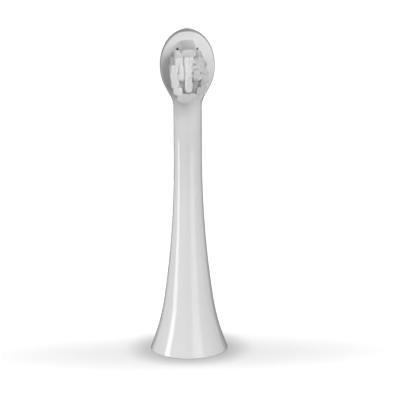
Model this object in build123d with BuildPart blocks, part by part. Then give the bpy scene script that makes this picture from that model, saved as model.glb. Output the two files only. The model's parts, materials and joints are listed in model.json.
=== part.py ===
"""Push-on head of a sonic toothbrush, standing on its skirt with the bristles facing -Y.

The head body is one moulding: a trumpet skirt, a slim round neck and an oval pan. Inside the skirt sits
the drive insert, whose bore takes the handle's flatted shaft, with a leaf spring that grips the flat.
Bristle tufts stand in blind holes in the pan, each folded over a flat wire anchor.
"""

import math
import os

from build123d import *

# Outside of the head body, in millimetres and degrees: the waist arc leaves the neck and a tighter flare
# arc runs on from it to the rim's corner, which is then bevelled
overall_height = 75.85
rim_radius = 8.95
rim_bevel = 0.3
skirt_height = 45.8
waist_radius = 235.0
waist_lean = 8.1
neck_radius = 3.22

# Oval pan that carries the bristles; each pull is the length of a curve's end handle
pan_half_width = 6.25
pan_rise = 8.35
shoulder_height = 9.7
root_pull = 3.15
wide_pull = 5.05
pan_back = 2.3
crest_pull = 4.6
crest_back = 1.2
crest_roll = 0.9
face_depth = 2.1
face_edge_bevel = 0.3
ramp_drop = 5.5
ramp_radius = 3.6

# Fullness of an outline's quarters: the first makes them exactly round, and 1 is nearly square
round_fullness = 2 - math.sqrt(2)
face_fullness = 0.955
back_fullness = 0.7
crest_fullness = 0.61

# Hollow of the skirt and the seat of the drive insert
rim_wall = 2.3
mouth_depth = 3.0
insert_clearance = 0.03
seat_level = 7.5
seat_width = 1.3
hollow_top_level = 17.0

# Drive insert
flange_radius = 5.2
flange_thickness = 1.5
shaft_radius = 1.8
shaft_clearance = 0.03
shaft_flat_depth = 0.45
bore_relief = 0.2
barrel_wall = 0.87
barrel_length = 22.0
barrel_roof = 1.0
guide_length = 8.0

# Leaf spring in the insert's window
spring_width = 2.0
spring_thickness = 0.25
spring_length = 8.6
spring_bite = 0.15
spring_clearance = 0.1

# Bristle tufts: rows run down from the crest, each centred on the pan, with its count and its share of the
# column pitch
tuft_radius = 0.62
tuft_clearance = 0.02
tuft_depth = 2.8
tuft_splay = 0.6
tuft_sides = 8
tuft_rows = [(3, 1.5), (5, 1.0), (5, 1.075), (5, 1.03), (2, 3.06)]
column_pitch = 1.6
row_pitch = 1.73
long_trim = 10.0
short_trim = 7.8
edge_drop = 0.15
broad_width = 3.0
tip_margin = 2.7
tip_gap = 2.0
heel_gap = 1.0
tip_trim = 10.2
heel_trim = 9.8

# Flat wire anchors that hold the tufts
anchor_thickness = 0.25
anchor_height = 1.2
anchor_loop = 0.35
anchor_angle = 45

# Values that follow from the sizes above
handle_weight = (1 + math.sqrt(2)) / 3
quarter_weights = [1, handle_weight, handle_weight, 1]
pan_wide_level = overall_height - pan_rise
pan_root_level = pan_wide_level - shoulder_height
ramp_top_level = pan_wide_level - ramp_drop
face_plane = Plane.XZ.offset(face_depth)
mouth_radius = rim_radius - rim_wall
flange_level = seat_level - flange_thickness
pocket_radius = flange_radius + insert_clearance
bore_radius = shaft_radius + shaft_clearance
relief_radius = bore_radius + bore_relief
barrel_radius = bore_radius + barrel_wall
barrel_top_level = flange_level + barrel_length
sleeve_radius = barrel_radius + insert_clearance
sleeve_top_level = barrel_top_level + insert_clearance
flat_offset = shaft_radius - shaft_flat_depth
hole_radius = tuft_radius + tuft_clearance
root_radius = tuft_radius - tuft_depth * math.tan(math.radians(tuft_splay))
broad_reach = broad_width / 2 - tuft_radius
anchor_half_width = math.sqrt(hole_radius**2 - (anchor_thickness / 2) ** 2)
tip_level = overall_height - tip_margin
heel_level = tip_level - tip_gap - (len(tuft_rows) - 1) * row_pitch - heel_gap
broad_tufts = {"tip_tuft": (tip_level, tip_trim), "heel_tuft": (heel_level, heel_trim)}
broad_spots = [(0, level) for level, _ in broad_tufts.values()]


def outline(level, half_width, front, back, front_fullness, rear_fullness):
    """Control points of a closed outline at a level, four for each of its quarters."""
    quarters = []
    for wide in (half_width, -half_width):
        quarters.append(
            [
                (0, -front, level),
                (front_fullness * wide, -front, level),
                (wide, -front_fullness * front, level),
                (wide, 0, level),
            ]
        )
        quarters.append(
            [
                (wide, 0, level),
                (wide, rear_fullness * back, level),
                (rear_fullness * wide, back, level),
                (0, back, level),
            ]
        )
    return quarters


def ring(level, radius):
    """Round outline of the neck."""
    return outline(level, radius, radius, radius, round_fullness, round_fullness)


def oval(level, half_width, back):
    """Outline of the pan, before its face is cut flat."""
    return outline(level, half_width, neck_radius, back, face_fullness, back_fullness)


def skin_patches(*outlines):
    """Four smooth patches, one for each quarter, from one outline to the last, with the handles between."""
    return [Face.make_bezier_surface(list(rows), [quarter_weights] * len(rows)) for rows in zip(*outlines)]


def pan_skin():
    """Solid pan from the neck's round end to the crest, before its face is cut."""
    root = ring(pan_root_level, neck_radius)
    root_handle = ring(pan_root_level + root_pull, neck_radius)
    wide_handle = oval(pan_wide_level - wide_pull, pan_half_width, pan_back)
    wide = oval(pan_wide_level, pan_half_width, pan_back)
    crest_low = oval(pan_wide_level + crest_pull, pan_half_width, pan_back)
    crest_high = oval(overall_height, crest_fullness * pan_half_width, crest_back + crest_roll)
    crest = oval(overall_height, 0, crest_back)
    patches = [
        *skin_patches(root, root_handle, wide_handle, wide),
        *skin_patches(wide, crest_low, crest_high, crest),
        Face(Wire([Edge.make_bezier(*quarter, weights=quarter_weights) for quarter in root])),
    ]
    return Solid(Shell(patches))


def tuft_places():
    """Name, place on the pan's face and trim length of each round tuft."""
    places = []
    for row, (columns, share) in enumerate(tuft_rows, start=1):
        level = tip_level - tip_gap - (row - 1) * row_pitch
        for column in range(1, columns + 1):
            step = column - (columns + 1) / 2
            across = step * share * column_pitch
            trim = long_trim - edge_drop * abs(across)
            # The last full row is trimmed shorter on both sides of its middle tuft
            if row == len(tuft_rows) - 1 and abs(step) == 1:
                trim = short_trim
            places.append((f"tuft_row{row}_{column}", (across, level), trim))
    return places


round_tufts = tuft_places()
round_spots = [spot for _, spot, _ in round_tufts]

# Anchors: one flat of wire across the root of each tuft
with BuildPart() as tuft_anchors:
    with BuildSketch(face_plane.offset(anchor_loop - tuft_depth)):
        with Locations(*round_spots):
            Rectangle(2 * anchor_half_width, anchor_thickness, rotation=anchor_angle)
        with Locations(*broad_spots):
            Rectangle(2 * (broad_reach + anchor_half_width), anchor_thickness)
    extrude(amount=anchor_height)

# Head body: skirt, neck and pan in one smooth skin
with BuildPart() as head_body:
    with BuildSketch(Plane.XZ):
        with BuildLine():
            waist = JernArc((neck_radius, skirt_height), (0, -1), waist_radius, waist_lean)
            TangentArc(waist @ 1, (rim_radius, 0), tangent=waist % 1)
            Polyline((rim_radius, 0), (0, 0), (0, pan_root_level), (neck_radius, pan_root_level), waist @ 0)
        make_face()
        chamfer(vertices().sort_by(Axis.X)[-1], length=rim_bevel)
    revolve(axis=Axis.Z)
    add(pan_skin(), clean=False)

    # Flat face of the pan, and a curved ramp that ends an eighth of its radius clear of the neck
    ramp_reach = neck_radius - face_depth + ramp_radius / 8
    ramp_sweep = math.acos(1 - ramp_reach / ramp_radius)
    ramp_end = (-face_depth - ramp_reach, ramp_top_level - ramp_radius * math.sin(ramp_sweep))
    clear_level = overall_height + ramp_radius
    with BuildSketch(Plane.YZ):
        with BuildLine():
            TangentArc((-face_depth, ramp_top_level), ramp_end, tangent=(0, -1))
            Polyline(
                ramp_end,
                (-clear_level, ramp_end[1]),
                (-clear_level, clear_level),
                (-face_depth, clear_level),
                (-face_depth, ramp_top_level),
            )
        make_face()
    extrude(amount=2 * pan_half_width, both=True, mode=Mode.SUBTRACT, clean=False)
    pan_face = head_body.faces().filter_by(Axis.Y).sort_by(Axis.Y)[0]
    chamfer(pan_face.outer_wire().edges().sort_by(Axis.Z)[1:], length=face_edge_bevel)

    # Hollow of the skirt: mouth, taper, pocket and seat of the insert's flange, then the neck's sleeve
    with BuildSketch(Plane.XZ):
        with BuildLine():
            Polyline(
                (0, 0),
                (mouth_radius, 0),
                (mouth_radius, mouth_depth),
                (pocket_radius, flange_level),
                (pocket_radius, seat_level),
                (pocket_radius - seat_width, seat_level),
                (pocket_radius - seat_width, hollow_top_level),
                (sleeve_radius, hollow_top_level),
                (sleeve_radius, sleeve_top_level),
                (0, sleeve_top_level),
                close=True,
            )
        make_face()
    revolve(axis=Axis.Z, mode=Mode.SUBTRACT, clean=False)

    # Blind tuft holes, many-sided like the bundles that fill them
    with BuildSketch(face_plane):
        with Locations(*round_spots):
            RegularPolygon(hole_radius, tuft_sides, major_radius=False)
        for _, level in broad_spots:
            with BuildSketch(face_plane, mode=Mode.PRIVATE) as broad_hole:
                with Locations((-broad_reach, level), (broad_reach, level)):
                    RegularPolygon(hole_radius, tuft_sides, major_radius=False)
                make_hull()
            add(broad_hole.sketch_local)
    extrude(amount=-tuft_depth, mode=Mode.SUBTRACT, clean=False)

# Drive insert: flange and barrel, with a round guide below and a flatted bore above
with BuildPart() as drive_insert:
    with BuildSketch(Plane.XY.offset(flange_level)):
        Circle(flange_radius)
    extrude(amount=flange_thickness)
    with BuildSketch(Plane.XY.offset(flange_level)):
        Circle(barrel_radius)
    extrude(amount=barrel_length)
    with BuildSketch(Plane.XY.offset(flange_level)):
        Circle(bore_radius)
    extrude(amount=guide_length, mode=Mode.SUBTRACT)
    with BuildSketch(Plane.XY.offset(flange_level + guide_length)):
        Circle(relief_radius)
        with Locations((0, -flat_offset)):
            Rectangle(2 * relief_radius, relief_radius, align=(Align.CENTER, Align.MAX), mode=Mode.SUBTRACT)
    extrude(amount=barrel_length - barrel_roof - guide_length, mode=Mode.SUBTRACT)
    # Window in the flat wall for the leaf spring
    with BuildSketch(Plane.XZ.offset(flat_offset - spring_clearance)):
        with Locations((0, hollow_top_level)):
            Rectangle(
                spring_width + 2 * spring_clearance,
                spring_length + 2 * spring_clearance,
                align=(Align.CENTER, Align.MIN),
            )
    extrude(amount=barrel_radius, mode=Mode.SUBTRACT)

# Leaf spring: a bowed strip whose crest presses on the shaft's flat
with BuildPart() as grip_spring:
    low_level = hollow_top_level + spring_clearance
    high_level = low_level + spring_length
    mid_level = low_level + spring_length / 2
    back_line = -math.sqrt(barrel_radius**2 - (spring_width / 2) ** 2)
    front_line = back_line + spring_thickness
    crest_line = spring_bite - flat_offset
    with BuildSketch(Plane.YZ):
        with BuildLine():
            ThreePointArc((front_line, low_level), (crest_line, mid_level), (front_line, high_level))
            Line((front_line, high_level), (back_line, high_level))
            ThreePointArc(
                (back_line, high_level),
                (crest_line - spring_thickness, mid_level),
                (back_line, low_level),
            )
            Line((back_line, low_level), (front_line, low_level))
        make_face()
    extrude(amount=spring_width / 2, both=True)

pieces = {
    "head_body": head_body.part,
    "drive_insert": drive_insert.part,
    "grip_spring": grip_spring.part,
    "tuft_anchors": tuft_anchors.part,
}

# Round tufts: many-sided bundles that splay a little from the root to the trimmed end
root_plane = face_plane.offset(-tuft_depth)
for name, spot, trim in round_tufts:
    with BuildPart() as tuft:
        with BuildSketch(root_plane):
            with Locations(spot):
                RegularPolygon(root_radius, tuft_sides)
        extrude(amount=tuft_depth + trim, taper=-tuft_splay)
        add(tuft_anchors.part, mode=Mode.SUBTRACT)
    pieces[name] = tuft.part

# Broad tufts at the tip and the heel of the pan
for name, (level, trim) in broad_tufts.items():
    with BuildPart() as tuft:
        with BuildSketch(root_plane):
            with Locations((-broad_reach, level), (broad_reach, level)):
                RegularPolygon(root_radius, tuft_sides)
            make_hull()
        extrude(amount=tuft_depth + trim, taper=-tuft_splay)
        add(tuft_anchors.part, mode=Mode.SUBTRACT)
    pieces[name] = tuft.part

os.makedirs("parts", exist_ok=True)
for name, piece in pieces.items():
    piece.label = name
    export_step(piece, f"parts/{name}.step")
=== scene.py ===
"""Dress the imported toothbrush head: a glossy moulded body, tufts of single filaments and a white studio."""

import json
import math

import bmesh
import bpy
import numpy as np
from mathutils import Matrix, Vector


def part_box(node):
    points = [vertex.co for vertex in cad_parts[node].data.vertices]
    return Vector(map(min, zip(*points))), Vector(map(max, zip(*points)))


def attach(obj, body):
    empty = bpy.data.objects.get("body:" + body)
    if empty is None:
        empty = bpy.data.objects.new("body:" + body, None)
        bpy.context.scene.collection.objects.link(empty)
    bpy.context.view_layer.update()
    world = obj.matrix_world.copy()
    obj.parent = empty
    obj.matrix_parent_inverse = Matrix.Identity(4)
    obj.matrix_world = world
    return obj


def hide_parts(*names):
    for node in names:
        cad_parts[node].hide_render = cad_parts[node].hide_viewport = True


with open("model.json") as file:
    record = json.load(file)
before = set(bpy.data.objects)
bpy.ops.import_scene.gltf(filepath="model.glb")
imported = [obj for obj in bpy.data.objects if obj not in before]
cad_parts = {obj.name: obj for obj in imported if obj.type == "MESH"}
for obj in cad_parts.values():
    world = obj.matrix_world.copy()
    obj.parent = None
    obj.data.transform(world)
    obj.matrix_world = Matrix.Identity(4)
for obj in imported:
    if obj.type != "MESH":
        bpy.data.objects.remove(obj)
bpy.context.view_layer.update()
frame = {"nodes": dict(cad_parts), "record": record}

bl_info = {
    "name": "Toothbrush Head",
    "version": (1, 0, 0),
    "blender": (4, 5, 0),
    "location": "3D View > Sidebar > Brush Head",
    "description": "Moulded body, bristle tufts, drive insert and studio of a push-on toothbrush head",
    "category": "Object",
}

MM = 0.001
TUFT_NODES = sorted(name for name in frame["nodes"] if name.startswith("tuft_row") or name.endswith("_tuft"))
MOUTH = next(mount["dims"] for mount in frame["record"]["mounts"] if mount["name"] == "skirt_mouth")
# Sizes of the solids, in millimetres
CREST_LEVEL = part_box("head_body")[1][2] / MM
INSERT_LOW, INSERT_HIGH = (np.array(corner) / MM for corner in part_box("drive_insert"))
INSERT_ROOM = 0.03
FACE_DEPTH = 2.1

# Points, rows and swings of the body's skin
CURVE_POINTS = 1501
BACK_CROWDING = 4
HALVINGS = 40
ARC_ROWS = 40
NECK_ROWS = 12
CREST_SWINGS = 121
# Angles round a section, in degrees, and steps up the shoulder: start, end and count of each band
ANGLE_BANDS = ((-90, -30, 22), (-30, -8, 56), (-8, 4, 8), (4, 30, 50), (30, 90, 22))
SHOULDER_BANDS = ((0, 0.28, 30), (0.28, 0.62, 44), (0.62, 1, 25))
# Rounding of the inner corners, and of the rim in radii: its reach and the height that it clears
INNER_ROUNDING = 0.12 * MM
RIM_REACH = 1.45
RIM_CLEAR = 3
RIM_ROWS = 9
# Most of the sides before and after a corner that its rounding takes
SIDE_BEFORE = 0.45
SIDE_AFTER = 0.9
# Share of its radius at which the ramp has left the neck
RAMP_END = 0.985

# Painted shade in the gaps at the upper edges of three holes: node, half width, half height, drop below the bundle's
# top and darkness
PAINTED_HOLE_SHADES = (
    ("tip_tuft", 1.5 * MM, 0.2 * MM, 0.06 * MM, 0.5),
    ("tuft_row1_1", 0.36 * MM, 0.5 * MM, 0.22 * MM, 1.0),
    ("tuft_row1_3", 0.29 * MM, 0.5 * MM, 0.22 * MM, 1.0),
)
HOLE_DEEP = 1.0 * MM
HOLE_INWARD = 0.94
HOLE_FADE = (0.55, 1.1)

# Rounded end of a filament, in radii: its length, and the place and width of its rings
END_LENGTH = 0.55
END_RINGS = ((0.35, 0.9), (0.5, 0.55))
# Tufts with a form of their own, painted shade that greys the tufts at both ends and towards the right, and how much
# farther loose filaments wander
HEEL_CORNER = 2.3
TIP_GATHER = 0.98
TIP_TRIM = 0.2 * MM
SUNKEN = ("tuft_row1_1", "tuft_row1_3")
END_PAINTED_SHADE = {"tip_tuft": 0.4, "heel_tuft": 0.55}
PAINTED_SHADE_START = -0.4 * MM
PAINTED_SHADE_WIDTH = 4.4 * MM
LOOSE_WANDER = 5
SHADED_TUFT_WANDER = 12
DOME_POWER = 4
# Neighbours that meet: least distance, how far out of line beside and above, most reaches apart, and overlap
NEAREST = 0.5 * MM
ROW_DRIFT = 0.5 * MM
COLUMN_DRIFT = 1.3 * MM
MEETING_SPAN = 2.4
OVERLAP = 0.03 * MM
# Columns that lean down to the heel, and how much more those beside the middle one do
INNER_COLUMNS = 2 * MM
MIDDLE_COLUMN = 0.5 * MM
SIDE_LEAN = 1.7

# Point that the lights and cards stand round, and each card's rows of elevation and two azimuths, in degrees
AIM = (0, 0, 0.04)
KEY_NET = ((-36, -5, 75), (0, -5, 75), (41, -5, 75))
LOW_FLAG = ((12, -65, 15), (60, -65, 15))
LEFT_GLOW = (
    (-17, -94, -76),
    (-13, -91, -73),
    (-10, -86, -68),
    (-4, -78, -60),
    (0, -77, -59),
    (17, -82, -64),
    (32, -84, -65),
)
LEFT_STOP = ((-1, -130, -45), (30, -130, -45))
RIGHT_GLOW = ((-16, 16, 50), (0, 10.5, 43), (32, 11, 43))
RIGHT_STOP = ((-3.4, 5, 75), (30, 5, 75))
BACK_FLAG = ((-40, 128, 222), (50, 128, 222))
FAR_CARD = 12.0
NEAR_CARD = 0.06
FLAG_DISTANCE = 0.08
# Floor: its reach, and where the painted shade ring under the rim and the shaded patch, partly real shadow and partly
# painted shade, clear
FLOOR_REACH = 3.0
PAINTED_RING_CLEARS = (0.008, 0.0165)
PATCH_CLEARS = (0.1, 1.1)


def share(name, description, default, **kind):
    """Number that a user may change."""
    return bpy.props.FloatProperty(name=name, description=description, default=default, **kind)


def length(name, description, millimetres):
    """Length, given in millimetres, that a user may change."""
    return share(name, description, millimetres * MM, subtype="DISTANCE", unit="LENGTH")


def angle(name, description, degrees):
    """Angle, given in degrees, that a user may change."""
    return share(name, description, math.radians(degrees), subtype="ANGLE", unit="ROTATION")


def tint(name, description, default):
    """Linear colour that a user may change."""
    return bpy.props.FloatVectorProperty(
        name=name, description=description, default=default, size=3, min=0, max=1, subtype="COLOR"
    )


class BodyShape(bpy.types.PropertyGroup):
    """Sizes of the moulded body."""

    height: length("Height", "From the rim to the crest", CREST_LEVEL)
    rim_corner: length("Rim corner", "Radius where the flare would meet the floor", 8.95)
    rim_rounding: length("Rim rounding", "Radius of the rim's outer edge", 0.28)
    waist_level: length("Waist level", "Where the neck turns into the waist", 45.8)
    waist_radius: length("Waist radius", "Radius of the long arc below the neck", 235)
    waist_lean: angle("Waist lean", "Lean where the flare's tighter arc starts", 8.1)
    neck: length("Neck radius", "Radius of the round neck", 3.22)
    root_level: length("Root level", "Where the neck ends and the pan starts", 57.8)
    wide_level: length("Wide level", "Where the pan is widest", 67.5)
    half_width: length("Half width", "Half the width of the pan", 6.25)
    back: length("Back", "How far the pan's back is behind the axis", 2.3)
    crest_back: length("Crest back", "How far the crest's back is behind the axis", 1.2)
    crest_roll: length("Crest roll", "How softly the crest rolls to the back", 0.9)
    root_pull: length("Root pull", "Handle of the shoulder at the neck", 3.15)
    wide_pull: length("Wide pull", "Handle of the shoulder at the widest level", 5.05)
    crest_pull: length("Crest pull", "Handle of the crest at the widest level", 4.6)
    face_fullness: share("Face fullness", "Squareness of the front quarters", 0.955)
    back_fullness: share("Back fullness", "Squareness of the back quarters", 0.7)
    crest_fullness: share("Crest fullness", "Squareness of the crest", 0.61)
    face: length("Face depth", "How far the tufted face is before the axis", FACE_DEPTH)
    edge: length("Edge softness", "How softly the face's edge is rounded", 0.45)
    ramp_level: length("Ramp level", "Where the ramp leaves the face", 62.0)
    ramp_radius: length("Ramp radius", "Radius of the ramp from the face to the neck", 3.6)
    mouth: length("Mouth radius", "Inside radius at the rim", MOUTH["r_mm"])
    mouth_depth: length("Mouth depth", "Straight length of the mouth", MOUTH["length_mm"])
    pocket: length("Pocket radius", "Radius round the insert's flange", INSERT_HIGH[0] + INSERT_ROOM)
    flange_level: length("Flange level", "Underside of the insert's flange", INSERT_LOW[2])
    seat_level: length("Seat level", "Seat that the flange is pressed against", 7.5)
    hollow: length("Hollow radius", "Radius of the hollow above the seat", 3.93)
    hollow_top: length("Hollow top", "Level of the hollow's top", 17)
    sleeve: length("Sleeve radius", "Radius round the insert's barrel", 2.73)
    sleeve_top: length("Sleeve top", "Level of the sleeve's blind end", INSERT_HIGH[2] + INSERT_ROOM)


class BristleShape(bpy.types.PropertyGroup):
    """Sizes of the filaments."""

    filament: length("Filament", "Diameter of one filament", 0.18)
    root: length("Root", "How deep below the face a filament starts", 1.2)
    pitch: length("Pitch", "Distance between filaments at their tips", 0.155)
    flare: length("Flare", "How far a lone tuft's tips spread past the solid bundle", 0.1)
    lean: length("Lean", "How much farther tips may lean to meet a neighbour", 0.38)
    parting: length("Parting", "Depth of the grooves beside the middle column", 0.45)
    parting_right: length("Right parting", "Distance of the right groove from the middle", 0.9)
    parting_left: length("Left parting", "Distance of the left groove from the middle", 1.2)
    parting_width: length("Parting width", "Half width of a groove", 0.16)
    gather: share("Gather", "Width of a tuft's root as a share of its hole", 0.86)
    sink: length("Sink", "How low the first row's outer tufts sit in their holes", 0.36)
    dome: length("Dome", "How much shorter a tuft's outermost filaments are", 0.16)
    corner: share("Corner", "Squareness of a tuft's outline, where 2 is an ellipse", 3.9)
    loose: share("Loose", "Share of filaments that stand out of line", 0.06)
    heel_wide: length("Heel width", "How far the heel's tips fan out to each side", 0.9)
    heel_drop: length("Heel drop", "How far the heel's tips hang down", 0.7)
    heel_lean: length("Heel lean", "How far the tuft above the heel leans down to it", 0.95)
    ragged: length("Raggedness", "How unevenly the tips are trimmed", 0.028)
    stray: length("Stray", "How far a filament's tip wanders", 0.03)
    sway: length("Sway", "How far the tips at the sides sway to the right", 0.25)
    middle_sway: length("Middle sway", "How much less the middle tips sway to the right", 0.4)
    middle_width: length("Middle width", "Reach of that lesser sway", 1.3)
    sides: bpy.props.IntProperty(name="Sides", description="Sides of a filament", default=7, min=5, max=12)
    rings: bpy.props.IntProperty(name="Rings", description="Rings along a filament", default=5, min=3, max=12)
    seed: bpy.props.IntProperty(name="Seed", description="Start of the random numbers", default=11)


class Finishes(bpy.types.PropertyGroup):
    """Colours of the pieces."""

    plastic: tint("Plastic", "Off-white of the moulded body", (0.74, 0.74, 0.74))
    plastic_shade: tint("Plastic shade", "Slightly deeper flow of the same plastic", (0.70, 0.70, 0.695))
    # Colour that the painted shade in the holes' gaps darkens to
    hole: tint("Hole", "Dark inside of a tuft's hole", (0.06, 0.06, 0.06))
    nylon: tint("Nylon", "White of the filaments", (0.95, 0.95, 0.95))
    # Painted shade: the colour that the filaments deepen to towards their roots
    nylon_shade: tint("Nylon shade", "Deeper white near the roots", (0.86, 0.86, 0.86))
    # Colour of the painted shade on the tufts at the right and at both ends
    nylon_painted_shade: tint("Deep nylon", "Greyer white of the tufts on the right and at both ends", (0.70, 0.70, 0.70))
    nylon_depth: length("Nylon depth", "How far light goes into the filaments", 0.15)
    acetal: tint("Acetal", "Natural white of the drive insert", (0.62, 0.62, 0.61))
    steel: tint("Steel", "Rolled spring steel", (0.58, 0.58, 0.57))
    brass: tint("Brass", "Drawn brass wire", (0.72, 0.58, 0.34))


class Studio(bpy.types.PropertyGroup):
    """Camera and light of the stage."""

    distance: length("Distance", "Level distance of the camera from the axis", 772.58)
    rise: length("Rise", "Height of the camera", 259.43)
    azimuth: angle("Azimuth", "Way round the axis that the camera stands", -1.5)
    heading: angle("Heading", "Turn of the camera that sets the axis left of centre", -0.201)
    pitch: angle("Pitch", "How far the camera looks down", 16.159)
    roll: angle("Roll", "Roll of the camera", -0.341)
    lens: share("Lens", "Focal length in millimetres on a 36 mm frame", 315.06)
    key: share("Key light", "Watts of the soft light at the upper right", 9.8)
    shaded: share("Shaded key", "Share of the key light that the tip tuft keeps off the pan", 0.7)
    net: share("Net", "Share of the key light that passes to the body below the pan", 0.6)
    low: share("Low light", "Watts of the front left light that a flag keeps off the pan", 3.0)
    skirt: share("Skirt light", "Watts of the light above it that the flag keeps off the neck", 0.9)
    tips: share("Tip light", "Watts of the light that falls on the tufts alone", 1.6)
    fill: share("Fill light", "Watts of the broad light at the left", 4.7)
    right_fill: share("Right fill", "Watts of the broad light at the right", 0.5)
    back: share("Back light", "Watts of the broad light behind", 0.8)
    overhead: share("Overhead light", "Watts of the floor's broad light", 9.0)
    strip: share("Strip glow", "Brightness of the tall card at the left", 6.5)
    panel: share("Panel glow", "Brightness of the broad card at the front right", 2.8)
    sky: share("Sky", "Strength of the world's even light", 0.16)
    floor: tint("Floor", "White of the floor", (0.9, 0.9, 0.9))
    # Painted shade: the floor's glow is weaker in a patch round the base, darkening it beyond its real shadow
    floor_lift: share("Floor lift", "Glow that brings the floor to white away from the base", 0.34)
    shade_wide: length("Shade width", "Half width of the shaded patch of floor", 72)
    shade_deep: length("Shade depth", "Half depth of the shaded patch of floor", 19)
    shade_ahead: length("Shade ahead", "How far the shaded patch lies before the axis", 4.5)


GROUPS = {"brush_body": BodyShape, "brush_bristles": BristleShape, "brush_finishes": Finishes, "brush_studio": Studio}


class Socket:
    """Output of a shader node, on which plain arithmetic adds Math nodes."""

    def __init__(self, shader, output):
        self.shader = shader
        self.output = output

    def math(self, operation, other):
        """Result of a Math node on this value and another."""
        return self.shader.node("ShaderNodeMath", {"operation": operation}, {0: self, 1: other})

    def __add__(self, other):
        return self.math("ADD", other)

    __radd__ = __add__

    def __mul__(self, other):
        return self.math("MULTIPLY", other)

    __rmul__ = __mul__

    def clamp(self):
        """The same value, held between 0 and 1."""
        return self.shader.node("ShaderNodeClamp", {}, {"Value": self})


class Shader:
    """Node tree of one finish."""

    def __init__(self, tree):
        self.tree = tree
        tree.nodes.clear()

    def node(self, kind, settings=None, inputs=None, output=0):
        """Add a node, set it up, then fill its sockets with values or links, and give one of its outputs."""
        made = self.tree.nodes.new(kind)
        for name, value in (settings or {}).items():
            setattr(made, name, value)
        for name, value in (inputs or {}).items():
            socket = made.inputs[name]
            if isinstance(value, Socket):
                self.tree.links.new(value.output, socket)
            else:
                socket.default_value = value
        return Socket(self, made.outputs[output]) if made.outputs else None

    def place(self):
        """Place on the object, in metres."""
        return self.node("ShaderNodeTexCoord", output="Object")

    def attribute(self, name):
        """Number that the mesh keeps at its points."""
        return self.node("ShaderNodeAttribute", {"attribute_name": name}, {}, "Fac")

    def noise(self, scale=1.0, detail=3.0, roughness=0.5, vector=None):
        """Cloudy value about one half."""
        vector = vector or self.place()
        inputs = {"Vector": vector, "Scale": scale, "Detail": detail, "Roughness": roughness}
        return self.node("ShaderNodeTexNoise", {}, inputs, "Fac")

    def stretched(self, x, y, z):
        """Place on the object with each axis scaled."""
        return self.node("ShaderNodeVectorMath", {"operation": "MULTIPLY"}, {0: self.place(), 1: (x, y, z)})

    def away(self, centre=(0, 0, 0), scale=(1, 1, 1)):
        """Distance from a centre, with each axis scaled."""
        shift = [-place * factor for place, factor in zip(centre, scale)]
        inputs = {0: self.place(), 1: scale, 2: shift}
        apart = self.node("ShaderNodeVectorMath", {"operation": "MULTIPLY_ADD"}, inputs)
        return self.node("ShaderNodeVectorMath", {"operation": "LENGTH"}, {0: apart}, "Value")

    def range(self, value, low, high, to_low=0.0, to_high=1.0):
        """Value moved from one range to another and held there."""
        inputs = {"Value": value, "From Min": low, "From Max": high, "To Min": to_low, "To Max": to_high}
        return self.node("ShaderNodeMapRange", {"interpolation_type": "SMOOTHSTEP"}, inputs)

    def mix(self, factor, first, second):
        """Colour between two others."""
        inputs = {0: factor, 6: first, 7: second}
        return self.node("ShaderNodeMix", {"data_type": "RGBA"}, inputs, 2)

    def bump(self, height, strength, distance):
        """Normal that follows a height."""
        return self.node("ShaderNodeBump", {}, {"Height": height, "Strength": strength, "Distance": distance})

    def surface(self, inputs):
        """Principled surface, linked to the output."""
        shader = self.node("ShaderNodeBsdfPrincipled", {}, inputs)
        self.node("ShaderNodeOutputMaterial", {}, {"Surface": shader})


def colour(values, factor=1.0):
    """Colour, dimmed by a factor, with full alpha for a socket."""
    return (*(factor * value for value in values), 1.0)


def new_material(name):
    """Empty node material and its shader."""
    material = bpy.data.materials.new(name)
    material.use_nodes = True
    return material, Shader(material.node_tree)


def painted_hole_shade(shader, node, half_width, half_height, drop, darkness):
    """Mask of the painted shade in the gap at the upper edge of a tuft's hole, so far below the bundle's top."""
    low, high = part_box(node)
    centre = (HOLE_INWARD * (low[0] + high[0]) / 2, -FACE_DEPTH * MM, high[2] - drop)
    away = shader.away(centre, (1 / half_width, 1 / HOLE_DEEP, 1 / half_height))
    return shader.range(away, *HOLE_FADE, darkness, 0.0)


def moulded_plastic(finishes):
    """Polished off-white moulding: faint flow in the colour, a slight orange peel and painted shade in the gaps at the
    upper edges of three holes.
    """
    material, shader = new_material("moulded_plastic")
    flow = shader.noise(detail=4.0, roughness=0.55, vector=shader.stretched(260, 260, 60))
    cloud = shader.noise(90)
    tone = (0.6 * flow + 0.4 * cloud).clamp()
    plain = shader.mix(tone, colour(finishes.plastic_shade), colour(finishes.plastic))
    # Painted shade: the gaps at the upper edges of three holes are darkened towards the hole colour
    gap = sum(painted_hole_shade(shader, *edge) for edge in PAINTED_HOLE_SHADES)
    base = shader.mix(gap.clamp(), plain, colour(finishes.hole))
    haze = shader.noise(420, detail=2.0)
    fine = shader.noise(2600, detail=2.0)
    roughness = 0.07 + 0.04 * haze + 0.02 * fine
    peel = shader.noise(700, detail=2.0)
    grain = shader.noise(5200, detail=1.0)
    normal = shader.bump(0.8 * peel + 0.2 * grain, strength=0.02, distance=0.0004)
    shader.surface(
        {
            "Base Color": base,
            "Roughness": roughness,
            "IOR": 1.49,
            "Coat Weight": 0.12,
            "Coat Roughness": 0.06,
            "Normal": normal,
        }
    )
    return material


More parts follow.
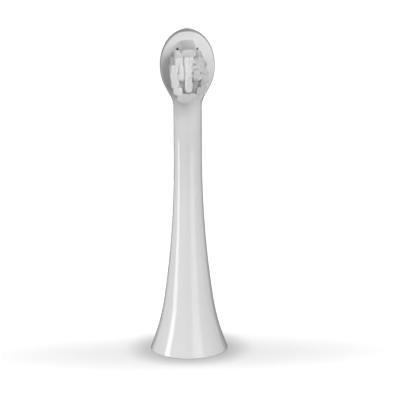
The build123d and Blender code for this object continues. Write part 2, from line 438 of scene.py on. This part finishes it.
def nylon_filament(finishes):
    """White nylon: each filament has its own tone, with painted shade deeper towards the root and on the tufts at the
    right and at both ends, and a soft sheen along it.
    """
    material, shader = new_material("nylon_filament")
    # Painted shade that deepens towards the root
    shade = shader.range(shader.attribute("along"), 0.0, 0.75)
    blotch = shader.noise(900, detail=2.0)
    tone = (0.72 * shade + 0.2 * shader.attribute("strand") + 0.08 * blotch).clamp()
    fresh = shader.mix(tone, colour(finishes.nylon_shade), colour(finishes.nylon))
    # Painted shade greys the tufts at the right and at both ends
    base = shader.mix(shader.attribute("deep"), fresh, colour(finishes.nylon_painted_shade))
    streak = shader.noise(detail=2.0, vector=shader.stretched(9000, 900, 9000))
    shader.surface(
        {
            "Base Color": base,
            "Roughness": 0.36 + 0.12 * streak,
            "IOR": 1.53,
            "Subsurface Weight": 0.25,
            "Subsurface Radius": (1, 1, 1),
            "Subsurface Scale": finishes.nylon_depth,
            "Normal": shader.bump(streak, strength=0.05, distance=0.00002),
        }
    )
    return material


def natural_acetal(finishes):
    """As-moulded acetal: cloudy white with a satin skin and fine draw lines along the bore."""
    material, shader = new_material("natural_acetal")
    cloud = shader.noise(380, detail=4.0)
    lines = shader.noise(detail=2.0, vector=shader.stretched(3800, 3800, 160))
    tone = (0.7 * cloud + 0.3 * lines).clamp()
    shader.surface(
        {
            "Base Color": shader.mix(tone, colour(finishes.acetal, 0.86), colour(finishes.acetal)),
            "Roughness": 0.38 + 0.14 * lines,
            "IOR": 1.48,
            "Normal": shader.bump(lines, strength=0.08, distance=0.00005),
        }
    )
    return material


def drawn_metal(name, tone, roughness, pull):
    """Rolled or drawn metal with fine lines along its length."""
    material, shader = new_material(name)
    lines = shader.noise(roughness=0.6, vector=shader.stretched(*pull))
    stain = shader.noise(600)
    mark = (0.6 * lines + 0.4 * stain).clamp()
    shader.surface(
        {
            "Base Color": shader.mix(mark, colour(tone, 0.72), colour(tone)),
            "Metallic": 1.0,
            "Roughness": roughness + 0.18 * lines,
            "Normal": shader.bump(lines, strength=0.1, distance=0.00003),
        }
    )
    return material


def cubic_weights(u):
    """Shares of a cubic's four control points at a step."""
    return (1 - u) ** 3, 3 * u * (1 - u) ** 2, 3 * u * u * (1 - u), u**3


def bezier(controls, weights, steps):
    """Points along a rational cubic curve, one row of coordinates for each step."""
    blend = np.hstack(cubic_weights(np.asarray(steps)[:, None])) * weights
    return (blend / blend.sum(axis=1, keepdims=True)) @ np.asarray(controls)


def cubic(values, steps):
    """Plain cubic blend of four values."""
    return sum(part * value for part, value in zip(cubic_weights(np.asarray(steps)), values))


def oval_quarter(wide, deep, fullness):
    """Control points of a quarter oval, from its middle line out to its side."""
    return np.array([(0, deep), (fullness * wide, deep), (wide, fullness * deep), (wide, 0)])


def banded(bands):
    """Numbers that rise through bands of a start, an end and a count each."""
    parts = [np.linspace(low, high, count, endpoint=False) for low, high, count in bands]
    return np.concatenate([*parts, [bands[-1][1]]])


def soft_min(first, second, reach):
    """Smaller of two values, rounded where they are near each other."""
    near = np.clip(1 - np.abs(first - second) / reach, 0, 1)
    return np.minimum(first, second) - near * near * reach / 4


class BodySkin:
    """The body's outside, as distances from its axis."""

    QUARTER = np.array([1, (1 + math.sqrt(2)) / 3, (1 + math.sqrt(2)) / 3, 1])
    ROUND = 2 - math.sqrt(2)

    def __init__(self, shape):
        self.shape = shape
        # A distance that is past every face of the body
        self.far = 10 * shape.rim_corner
        self.steps = np.linspace(0, 1, CURVE_POINTS)
        self.face_quarter = bezier(oval_quarter(1, 1, shape.face_fullness), self.QUARTER, self.steps)
        # The back's steps crowd towards its middle line, where the ridge of the crest falls away
        back = oval_quarter(1, 1, shape.back_fullness)
        self.back_quarter = bezier(back, self.QUARTER, self.steps**BACK_CROWDING)
        # Angles from the front to the back, close together at the edges of the pan
        self.angles = np.radians(banded(ANGLE_BANDS))

    def cut(self, level):
        """How far the flat face or its ramp stands before the axis at a level."""
        shape = self.shape
        drop = max(shape.ramp_level - level, 0.0)
        if drop > RAMP_END * shape.ramp_radius:
            return self.far
        return shape.face + shape.ramp_radius - math.sqrt(shape.ramp_radius**2 - drop**2)

    def radii(self, out, depth, cut):
        """Distance from the axis at each angle, from points round half a section and the face's cut."""
        turn = np.unwrap(np.arctan2(depth, out))
        reach = np.interp(self.angles, turn, np.hypot(out, depth))
        plane = np.full_like(reach, self.far)
        front = self.angles < 0
        plane[front] = cut / -np.sin(self.angles[front])
        return soft_min(reach, plane, self.shape.edge)

    def shoulder(self, step):
        """Level and right half of the section at a step from the neck's root to the widest level."""
        shape = self.shape
        root, widest = shape.root_level, shape.wide_level
        level = cubic([root, root + shape.root_pull, widest - shape.wide_pull, widest], step)
        # Control points of the quarters blend from the round neck to the oval pan
        quarters = []
        for fullness, deep, sign in ((shape.face_fullness, shape.neck, -1), (shape.back_fullness, shape.back, 1)):
            neck = oval_quarter(shape.neck, sign * shape.neck, self.ROUND)
            pan = oval_quarter(shape.half_width, sign * deep, fullness)
            quarters.append(bezier(cubic([neck, neck, pan, pan], step), self.QUARTER, self.steps))
        out, depth = np.concatenate([quarters[0], quarters[1][::-1][1:]]).T
        return level, self.radii(out, depth, self.cut(level))

    def crest_line(self, step):
        """Rise and half width of the crest's outline at a step from the widest level to the top."""
        shape = self.shape
        tall = shape.height - shape.wide_level
        rise = cubic([0, shape.crest_pull, tall, tall], step)
        wide = cubic([shape.half_width, shape.half_width, shape.crest_fullness * shape.half_width, 0], step)
        return rise, wide

    def crest(self, turn):
        """Half section of the upper pan along a ray that leaves the widest level at a turn from the right."""
        shape = self.shape
        backs = (shape.back, shape.back, shape.crest_back + shape.crest_roll, shape.crest_back)
        out, depth = [], []
        for quarter, depths in ((self.face_quarter, None), (self.back_quarter[::-1], backs)):
            low = np.zeros(len(quarter))
            high = np.ones(len(quarter))
            for _ in range(HALVINGS):
                middle = (low + high) / 2
                rise, wide = self.crest_line(middle)
                above = rise * math.cos(turn) > wide * quarter[:, 0] * math.sin(turn)
                high = np.where(above, middle, high)
                low = np.where(above, low, middle)
            rise, wide = self.crest_line(high)
            out.append(np.hypot(wide * quarter[:, 0], rise))
            deep = -shape.neck if depths is None else cubic(depths, high)
            depth.append(deep * quarter[:, 1])
        out = np.concatenate([out[0], out[1][1:]])
        depth = np.concatenate([depth[0], depth[1][1:]])
        return self.radii(out, depth, shape.face)

    def profile(self):
        """Rows of the turned part, as radius and level, from the sleeve's blind end round the rim to the neck."""
        shape = self.shape
        inside = [(0, shape.sleeve_top), (shape.sleeve, shape.sleeve_top), (shape.sleeve, shape.hollow_top)]
        inside += [(shape.hollow, shape.hollow_top), (shape.hollow, shape.seat_level), (shape.pocket, shape.seat_level)]
        inside += [(shape.pocket, shape.flange_level), (shape.mouth, shape.mouth_depth), (shape.mouth, 0)]
        rows = [inside[0]]
        for before, here, after in zip(inside, inside[1:], inside[2:] + [(shape.rim_corner, 0)]):
            rows += rounded_corner(before, here, after, INNER_ROUNDING)
        # Arcs of the waist and the flare, tangent where they meet
        lean = shape.waist_lean
        join = self.waist(lean)
        chord = math.hypot(shape.rim_corner - join[0], join[1])
        half = math.atan2(shape.rim_corner - join[0], join[1]) - lean
        radius = chord / (2 * math.sin(half))
        centre = (join[0] + radius * math.cos(lean), join[1] + radius * math.sin(lean))
        flare = []
        for part in np.linspace(0, 1, ARC_ROWS):
            tilt = lean + 2 * half * (1 - part)
            flare.append((centre[0] - radius * math.cos(tilt), centre[1] - radius * math.sin(tilt)))
        rows += rounded_corner((shape.mouth, 0), flare[0], flare[1], RIM_REACH * shape.rim_rounding, RIM_ROWS)
        rows += [point for point in flare if point[1] > RIM_CLEAR * shape.rim_rounding]
        rows += [self.waist(lean * (1 - part)) for part in np.linspace(0, 1, ARC_ROWS)[1:]]
        tall = shape.root_level - shape.waist_level
        rows += [(shape.neck, shape.waist_level + part * tall) for part in np.linspace(0, 1, NECK_ROWS)[1:-1]]
        return rows

    def waist(self, tilt):
        """Radius and level of the waist's arc where it leans by a tilt."""
        shape = self.shape
        out = shape.waist_radius * (1 - math.cos(tilt))
        return shape.neck + out, shape.waist_level - shape.waist_radius * math.sin(tilt)


def rounded_corner(before, here, after, reach, count=4):
    """Points of a small arc in place of a corner."""
    before, here, after = (np.array(point, dtype=float) for point in (before, here, after))
    to_before, to_after = np.linalg.norm(before - here), np.linalg.norm(after - here)
    reach = min(reach, SIDE_BEFORE * to_before, SIDE_AFTER * to_after)
    start = here + reach * ((before - here) / to_before)
    end = here + reach * ((after - here) / to_after)
    points = []
    for part in np.linspace(0, 1, count):
        points.append(tuple((1 - part) ** 2 * start + 2 * part * (1 - part) * here + part**2 * end))
    return points


def body_mesh(shape):
    """One smooth closed mesh of the moulded body."""
    skin = BodySkin(shape)
    angles = skin.angles
    half = len(angles)
    ring = 2 * (half - 1)
    # Full turn: the right half from the front to the back, then the left half back to the front
    side = np.concatenate([np.cos(angles), -np.cos(angles[-2:0:-1])])
    deep = np.concatenate([np.sin(angles), np.sin(angles[-2:0:-1])])
    turned = skin.profile()
    rows = [np.column_stack([radius * side, radius * deep, np.full(ring, level)]) for radius, level in turned]
    for step in banded(SHOULDER_BANDS):
        level, radii = skin.shoulder(step)
        radii = np.concatenate([radii, radii[-2:0:-1]])
        rows.append(np.column_stack([radii * side, radii * deep, np.full(ring, level)]))
    points = np.concatenate(rows)
    faces = []
    for row in range(len(rows) - 1):
        low, high = row * ring, (row + 1) * ring
        for column in range(ring):
            after = (column + 1) % ring
            faces.append((low + column, low + after, high + after, high + column))
    # Upper pan: half sections that swing over the crest from the right of the widest row to its left
    top = (len(rows) - 1) * ring
    previous = [top + column for column in range(half)]
    start = len(points)
    extra = []
    front, back = previous[0], previous[-1]
    for swing in range(1, CREST_SWINGS + 1):
        if swing == CREST_SWINGS:
            current = [front] + [top + ring - column for column in range(1, half - 1)] + [back]
        else:
            turn = math.pi * min(swing, CREST_SWINGS - swing) / CREST_SWINGS
            radii = skin.crest(turn)
            mirror = -1 if 2 * swing > CREST_SWINGS else 1
            out, depth = radii * np.cos(angles), radii * np.sin(angles)
            ray = np.column_stack([mirror * out * math.cos(turn), depth, shape.wide_level + out * math.sin(turn)])
            first = start + len(extra)
            extra += [tuple(point) for point in ray[1:-1]]
            current = [front] + list(range(first, first + half - 2)) + [back]
        for column in range(half - 1):
            corners = [previous[column], previous[column + 1], current[column + 1], current[column]]
            faces.append(tuple(dict.fromkeys(corners)))
        previous = current
    points = np.concatenate([points, np.array(extra)])
    mesh = bpy.data.meshes.new("moulded_body")
    mesh.from_pydata(points.tolist(), [], faces)
    return mesh


def finish_mesh(mesh, smooth_angle):
    """Weld, turn the faces outwards and shade smooth up to an angle."""
    work = bmesh.new()
    work.from_mesh(mesh)
    bmesh.ops.remove_doubles(work, verts=work.verts, dist=1e-7)
    bmesh.ops.recalc_face_normals(work, faces=work.faces)
    work.to_mesh(mesh)
    work.free()
    mesh.shade_smooth()
    mesh.set_sharp_from_angle(angle=smooth_angle)
    mesh.validate()


def filament_mesh(name, roots, tips, shape, draws, deep):
    """Tubes with rounded ends from roots to tips, with each filament's own tone, its place along it and its tuft's
    share of painted shade.
    """
    sides, rings = shape.sides, shape.rings
    turn = np.linspace(0, 2 * math.pi, sides, endpoint=False)
    circle = np.column_stack([np.cos(turn), np.zeros(sides), np.sin(turn)])
    radius = shape.filament / 2
    parts = np.linspace(0, 1, rings)
    count = rings + len(END_RINGS)
    points, faces, strand, along = [], [], [], []
    for root, tip in zip(roots, tips):
        tone = draws.random()
        bend = draws.normal(0, shape.stray, 3) * (1, 0, 1)
        base = len(points)
        heading = (tip - root) / np.linalg.norm(tip - root)
        rounding = END_LENGTH * radius * heading
        for part in parts:
            centre = root + (tip - rounding - root) * part + bend * part * part
            points += [tuple(centre + radius * corner) for corner in circle]
            along += [part] * sides
        end = tip - rounding + bend
        for forward, wide in END_RINGS:
            points += [tuple(end + forward * radius * heading + wide * radius * corner) for corner in circle]
            along += [1.0] * sides
        points.append(tuple(end + rounding))
        along.append(1.0)
        for row in range(count - 1):
            for side in range(sides):
                after = (side + 1) % sides
                low, high = base + row * sides, base + (row + 1) * sides
                faces.append((low + side, high + side, high + after, low + after))
        last, peak = base + (count - 1) * sides, base + count * sides
        faces += [(last + side, peak, last + (side + 1) % sides) for side in range(sides)]
        faces.append(tuple(base + side for side in range(sides)))
        strand += [tone] * (count * sides + 1)
    mesh = bpy.data.meshes.new(name)
    mesh.from_pydata(points, [], faces)
    for label, values in (("strand", strand), ("along", along), ("deep", [deep] * len(points))):
        mesh.attributes.new(label, "FLOAT", "POINT").data.foreach_set("value", values)
    mesh.shade_smooth()
    mesh.set_sharp_from_angle(angle=math.radians(50))
    return mesh


def packed_spots(reach, pitch, corner):
    """Close-packed places in an outline with its own reach left, right, down and up, also as shares of that reach."""
    left, right, down, up = reach
    rise = pitch * math.sqrt(3) / 2
    spots = []
    for row in range(-math.ceil(down / rise), math.ceil(up / rise) + 1):
        for column in range(-math.ceil(left / pitch) - 1, math.ceil(right / pitch) + 1):
            across, level = (column + 0.5 * (row % 2)) * pitch, row * rise
            beside = across / (right if across > 0 else left)
            above = level / (up if level > 0 else down)
            out = (abs(beside) ** corner + abs(above) ** corner) ** (1 / corner)
            if out <= 1:
                spots.append((across, level, beside, above, out))
    return np.array(spots)


def new_object(name, data):
    """Object in the scene for a mesh, light or camera."""
    made = bpy.data.objects.new(name, data)
    bpy.context.scene.collection.objects.link(made)
    return made


def show(mesh, name, material, node):
    """Object for a mesh that stands for a node of the solid model."""
    piece = new_object(name, mesh)
    piece.data.materials.append(material)
    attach(piece, "root")
    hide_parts(node)


def recoat(node, material):
    """Give a carried-over node its finish."""
    mesh_object = frame["nodes"][node]
    mesh_object.data.materials.clear()
    mesh_object.data.materials.append(material)


class BRUSH_OT_body(bpy.types.Operator):
    """Make the moulded body as one smooth skin from the mouth's inside to the crest"""

    bl_idname = "brush.body"
    bl_label = "Moulded Body"

    def execute(self, context):
        shape, finishes = context.scene.brush_body, context.scene.brush_finishes
        mesh = body_mesh(shape)
        finish_mesh(mesh, smooth_angle=math.radians(38))
        show(mesh, "moulded_body", moulded_plastic(finishes), "head_body")
        return {"FINISHED"}


class BRUSH_OT_tufts(bpy.types.Operator):
    """Make each tuft from single filaments with rounded ends"""

    bl_idname = "brush.tufts"
    bl_label = "Bristle Tufts"

    def execute(self, context):
        shape, finishes = context.scene.brush_bristles, context.scene.brush_finishes
        face = -context.scene.brush_body.face
        material = nylon_filament(finishes)
        draws = np.random.default_rng(shape.seed)
        boxes = {node: [np.array(corner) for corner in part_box(node)] for node in TUFT_NODES}
        for node in TUFT_NODES:
            low, high = boxes[node]
            middle = (low + high) / 2
            half = (high - low) / 2
            corner = HEEL_CORNER if node == "heel_tuft" else shape.corner
            spots = packed_spots(self.tip_reach(node, boxes, shape), shape.pitch, corner)
            across, level, beside, above, out = spots.T
            count = len(out)
            gather = TIP_GATHER if node == "tip_tuft" else shape.gather
            sink = shape.sink if node in SUNKEN else 0.0
            root_across = middle[0] + gather * half[0] * beside
            root_level = middle[2] - sink + gather * half[2] * above
            root = np.column_stack([root_across, np.full(count, face + shape.root), root_level])
            # Painted shade: tufts grow greyer towards the right, and the end tufts take a set share
            side = float(np.clip((middle[0] - PAINTED_SHADE_START) / PAINTED_SHADE_WIDTH, 0, 1))
            deep = END_PAINTED_SHADE.get(node, side)
            wander = draws.normal(0, shape.stray / 2, (count, 2))
            wander[draws.random(count) < shape.loose] *= LOOSE_WANDER + SHADED_TUFT_WANDER * deep
            uneven = np.abs(draws.normal(0, shape.ragged, count)) + shape.dome * out**DOME_POWER
            across = middle[0] + across
            sway = 0.0
            if node.startswith("tuft_row"):
                parting = np.where(across < 0, -shape.parting_left, shape.parting_right)
                uneven += shape.parting * np.exp(-(((across - parting) / shape.parting_width) ** 2))
                sway = shape.sway - shape.middle_sway * np.exp(-((across / shape.middle_width) ** 2))
            level = middle[2] + level - (shape.heel_drop if node == "heel_tuft" else 0.0)
            tip = np.column_stack([across + sway + wander[:, 0], low[1] + uneven, level + wander[:, 1]])
            mesh = filament_mesh(f"{node}_filaments", root, tip, shape, draws, deep)
            show(mesh, f"{node}_filaments", material, node)
        return {"FINISHED"}

    def tip_reach(self, node, boxes, shape):
        """How far a tuft's tips reach left, right, down and up: to a near neighbour, else a little past the bundle."""
        low, high = boxes[node]
        middle = (low + high) / 2
        half = (high - low) / 2 + shape.flare
        if node == "tip_tuft":
            return half[0] - TIP_TRIM, half[0] - TIP_TRIM, half[2], half[2]
        if node == "heel_tuft":
            return half[0] + shape.heel_wide, half[0] + shape.heel_wide, half[2], half[2] + shape.lean
        gaps = [(other[0] + other[1] - low - high) / 2 for name, other in boxes.items() if name != node]
        reach = []
        for axis, sign in ((0, -1), (0, 1), (2, -1), (2, 1)):
            drift = ROW_DRIFT if axis == 0 else COLUMN_DRIFT
            in_line = [sign * gap[axis] for gap in gaps if abs(gap[2 - axis]) < drift]
            gap = min((distance for distance in in_line if distance > NEAREST), default=0.0)
            most = half[axis] + shape.lean
            meeting = float(np.clip(gap / 2 + OVERLAP, half[axis], most))
            reach.append(meeting if gap < MEETING_SPAN * most else half[axis])
        # The lowest tufts close the room above the heel, and the outer ones there lean out
        if node.startswith("tuft_row4") and abs(middle[0]) < INNER_COLUMNS:
            reach[2] = half[2] + shape.heel_lean * (1 if abs(middle[0]) < MIDDLE_COLUMN else SIDE_LEAN)
        if node.startswith("tuft_row5"):
            reach[0 if low[0] < 0 else 1] += shape.lean
        return reach


class BRUSH_OT_drive(bpy.types.Operator):
    """Finish the drive insert, its leaf spring and the wire anchors"""

    bl_idname = "brush.drive"
    bl_label = "Drive Insert"

    def execute(self, context):
        finishes = context.scene.brush_finishes
        recoat("drive_insert", natural_acetal(finishes))
        recoat("grip_spring", drawn_metal("rolled_steel", finishes.steel, 0.24, (9000, 9000, 300)))
        recoat("tuft_anchors", drawn_metal("drawn_brass", finishes.brass, 0.28, (400, 6000, 6000)))
        return {"FINISHED"}


def area_light(name, place, aim, size, power):
    """Rectangular light that faces a point and that neither the camera nor gloss shows."""
    light = bpy.data.lights.new(name, "AREA")
    light.shape = "RECTANGLE"
    light.size, light.size_y = size
    light.energy = power
    lamp = new_object(name, light)
    lamp.location = place
    lamp.rotation_euler = (Vector(aim) - Vector(place)).to_track_quat("-Z", "Y").to_euler()
    lamp.visible_camera = False
    lamp.visible_glossy = False
    return lamp


def around(azimuth, elevation, distance):
    """Place at angles in degrees round the aim: azimuth 0 is in front and a positive one is to the right."""
    side, rise = math.radians(azimuth), math.radians(elevation)
    level = distance * math.cos(rise)
    return AIM[0] + level * math.sin(side), AIM[1] - level * math.cos(side), AIM[2] + distance * math.sin(rise)


def card(name, rows, distance, glow=None, passes=0.0):
    """Card from rows of elevation and two azimuths: a glow that only gloss shows, or a flag that only dims lights."""
    mesh = bpy.data.meshes.new(name)
    places = [around(azimuth, elevation, distance) for elevation, *ends in rows for azimuth in ends]
    mesh.from_pydata(places, [], [(row, row + 1, row + 3, row + 2) for row in range(0, len(places) - 2, 2)])
    piece = new_object(name, mesh)
    material, shader = new_material(name)
    if glow is None:
        surface = shader.node("ShaderNodeBsdfTransparent", {}, {"Color": (passes, passes, passes, 1)})
    else:
        surface = shader.node("ShaderNodeEmission", {}, {"Color": (1, 1, 1, 1), "Strength": glow})
    shader.node("ShaderNodeOutputMaterial", {}, {"Surface": surface})
    piece.data.materials.append(material)
    for kind in ("camera", "diffuse", "transmission", "volume_scatter"):
        setattr(piece, f"visible_{kind}", False)
    piece.visible_glossy = glow is not None
    piece.visible_shadow = glow is None
    return piece


def linked(name, state, *pieces):
    """Collection that keeps lights to some objects or off them."""
    group = bpy.data.collections.new(name)
    for piece in pieces:
        group.objects.link(piece)
    for member in group.collection_objects:
        member.light_linking.link_state = state
    return group


class BRUSH_OT_studio(bpy.types.Operator):
    """Set the white floor, the soft lights and the camera"""

    bl_idname = "brush.studio"
    bl_label = "Studio"

    def execute(self, context):
        scene, studio = context.scene, context.scene.brush_studio
        scene.view_settings.view_transform = "Standard"
        floor = self.floor(studio)
        self.world(scene, studio)
        lamps = self.lamps(studio)
        net = card("key_net", KEY_NET, NEAR_CARD, passes=studio.net)
        flag = card("low_flag", LOW_FLAG, FLAG_DISTANCE)
        self.link(lamps, floor, net, flag)
        card("left_glow", LEFT_GLOW, FAR_CARD, studio.strip)
        card("left_stop", LEFT_STOP, NEAR_CARD, 1.0)
        card("right_glow", RIGHT_GLOW, FAR_CARD, studio.panel)
        card("right_stop", RIGHT_STOP, NEAR_CARD, 1.0)
        card("back_flag", BACK_FLAG, FAR_CARD, 0.0)
        self.camera(scene, studio)
        return {"FINISHED"}

    def lamps(self, studio):
        """Soft lights by name, where four in one place make the key light, each for its own pieces."""
        key_place, key_size = around(35, 27, 1.0), (0.5, 0.5)
        side_size = (0.5, 0.08)
        lights = (
            ("key", key_place, key_size, studio.key * studio.shaded),
            ("open_key", key_place, key_size, studio.key * (1 - studio.shaded)),
            ("tuft_key", key_place, key_size, studio.key),
            ("end_key", key_place, key_size, studio.key),
            ("low", around(-25, 0, 1.0), (0.1, 0.1), studio.low),
            ("skirt", around(-25, 15, 1.0), (0.1, 0.25), studio.skirt),
            ("tip", around(-6, 14, 1.0), (0.3, 0.3), studio.tips),
            ("fill", around(-90, 3, 1.0), side_size, studio.fill),
            ("right", around(90, 3, 1.0), side_size, studio.right_fill),
            ("back", around(170, -3, 0.5), (0.3, 0.02), studio.back),
        )
        lamps = {name: area_light(f"{name}_softbox", place, AIM, size, power) for name, place, size, power in lights}
        lamps["floor"] = area_light("floor_softbox", (0, 0, 0.9), (0, 0, 0), (1.2, 1.2), studio.overhead)
        return lamps

    def link(self, lamps, floor, net, flag):
        """Choose what each light falls on, and which of the two screens and the tufts stand before it."""
        tip, heel = (bpy.data.objects[f"{node}_tuft_filaments"] for node in ("tip", "heel"))
        rows = [bpy.data.objects[f"{node}_filaments"] for node in TUFT_NODES if node.startswith("tuft_row")]
        all_but_floor = linked("off_the_floor", "EXCLUDE", floor)
        body = linked("off_the_tufts", "EXCLUDE", floor, tip, heel, *rows)
        bare = linked("past_both", "EXCLUDE", net, flag)
        flagged = linked("past_the_net", "EXCLUDE", net)
        past_ends = linked("past_the_ends", "EXCLUDE", flag, tip, heel)
        # The tip tuft keeps part of the key light off the pan, and the heel tuft keeps none off the neck
        links = {
            "key": (body, linked("past_the_heel", "EXCLUDE", flag, heel)),
            "open_key": (body, past_ends),
            "tuft_key": (linked("on_the_rows", "INCLUDE", *rows), past_ends),
            "end_key": (linked("on_the_ends", "INCLUDE", tip, heel), linked("past_the_flag", "EXCLUDE", flag)),
            "tip": (linked("on_the_tufts", "INCLUDE", *rows, heel), bare),
            "floor": (linked("on_the_floor", "INCLUDE", floor), bare),
        }
        links |= dict.fromkeys(("low", "skirt"), (all_but_floor, flagged))
        links |= dict.fromkeys(("fill", "right", "back"), (all_but_floor, bare))
        for name, (receivers, blockers) in links.items():
            lamps[name].light_linking.receiver_collection = receivers
            lamps[name].light_linking.blocker_collection = blockers

    def floor(self, studio):
        """White floor that keeps the real shadow, with a painted shade ring under the rim and a patch round the base
        where less glow adds painted shade, and shows white elsewhere.
        """
        mesh = bpy.data.meshes.new("floor")
        corners = [(FLOOR_REACH * x, FLOOR_REACH * y, 0) for x, y in ((-1, -1), (1, -1), (1, 1), (-1, 1))]
        mesh.from_pydata(corners, [], [(0, 1, 2, 3)])
        floor = new_object("floor", mesh)
        material, shader = new_material("floor_white")
        speck = shader.noise(40, detail=2.0)
        plain = shader.mix(0.03 * speck, colour(studio.floor), colour(studio.floor, 0.9))
        # Painted shade: a ring under the rim darkens the floor to six tenths of its white
        clear = shader.range(shader.away(), *PAINTED_RING_CLEARS)
        base = shader.mix(clear, colour(studio.floor, 0.6), plain)
        # Painted shade: the glow falls to a fifth inside the patch round the base
        patch = shader.away((0, -studio.shade_ahead, 0), (1 / studio.shade_wide, 1 / studio.shade_deep, 0))
        lift = shader.mix(shader.range(patch, *PATCH_CLEARS), (0.2, 0.2, 0.2, 1), (1, 1, 1, 1))
        shader.surface(
            {
                "Base Color": base,
                "Roughness": 1.0,
                "Specular IOR Level": 0.0,
                "Emission Color": lift,
                "Emission Strength": studio.floor_lift,
            }
        )
        floor.data.materials.append(material)
        floor.visible_glossy = False
        floor.visible_diffuse = False
        return floor

    def world(self, scene, studio):
        """Even light all round, white where the camera or a mirror sees it."""
        world = bpy.data.worlds.new("studio_world")
        world.use_nodes = True
        scene.world = world
        shader = Shader(world.node_tree)
        kinds = ("Is Camera Ray", "Is Glossy Ray", "Is Transmission Ray")
        white = sum(shader.node("ShaderNodeLightPath", output=kind) for kind in kinds).clamp()
        strength = studio.sky + (1 - studio.sky) * white
        background = shader.node("ShaderNodeBackground", {}, {"Color": (1, 1, 1, 1), "Strength": strength})
        shader.node("ShaderNodeOutputWorld", {}, {"Surface": background})

    def camera(self, scene, studio):
        """Camera at the photograph's place, looking a little down."""
        data = bpy.data.cameras.new("camera")
        data.lens = studio.lens
        data.sensor_width = 36.0
        data.clip_start = 0.01
        data.clip_end = 20.0
        camera = new_object("camera", data)
        place = (studio.distance * math.sin(studio.azimuth), -studio.distance * math.cos(studio.azimuth), studio.rise)
        turn = Matrix.Rotation(studio.azimuth + studio.heading, 4, "Z")
        turn = turn @ Matrix.Rotation(math.pi / 2 - studio.pitch, 4, "X") @ Matrix.Rotation(studio.roll, 4, "Z")
        camera.matrix_world = Matrix.Translation(place) @ turn
        scene.camera = camera


OPERATORS = (BRUSH_OT_body, BRUSH_OT_tufts, BRUSH_OT_drive, BRUSH_OT_studio)


class BRUSH_PT_panel(bpy.types.Panel):
    """Lists the steps that build the brush head"""

    bl_idname = "BRUSH_PT_panel"
    bl_label = "Brush Head"
    bl_space_type = "VIEW_3D"
    bl_region_type = "UI"
    bl_category = "Brush Head"

    def draw(self, context):
        for operator in OPERATORS:
            self.layout.operator(operator.bl_idname)
        for group in GROUPS:
            box = self.layout.box()
            for name in GROUPS[group].__annotations__:
                box.prop(getattr(context.scene, group), name)


def register():
    """Register the groups, the operators and the panel."""
    for name, group in GROUPS.items():
        bpy.utils.register_class(group)
        setattr(bpy.types.Scene, name, bpy.props.PointerProperty(type=group))
    for kind in (*OPERATORS, BRUSH_PT_panel):
        bpy.utils.register_class(kind)


def unregister():
    """Take them out again."""
    for kind in (BRUSH_PT_panel, *reversed(OPERATORS)):
        bpy.utils.unregister_class(kind)
    for name, group in reversed(GROUPS.items()):
        delattr(bpy.types.Scene, name)
        bpy.utils.unregister_class(group)


def main():
    """Build the head and its stage."""
    register()
    bpy.ops.brush.body()
    bpy.ops.brush.tufts()
    bpy.ops.brush.drive()
    bpy.ops.brush.studio()


if __name__ == "__main__":
    main()
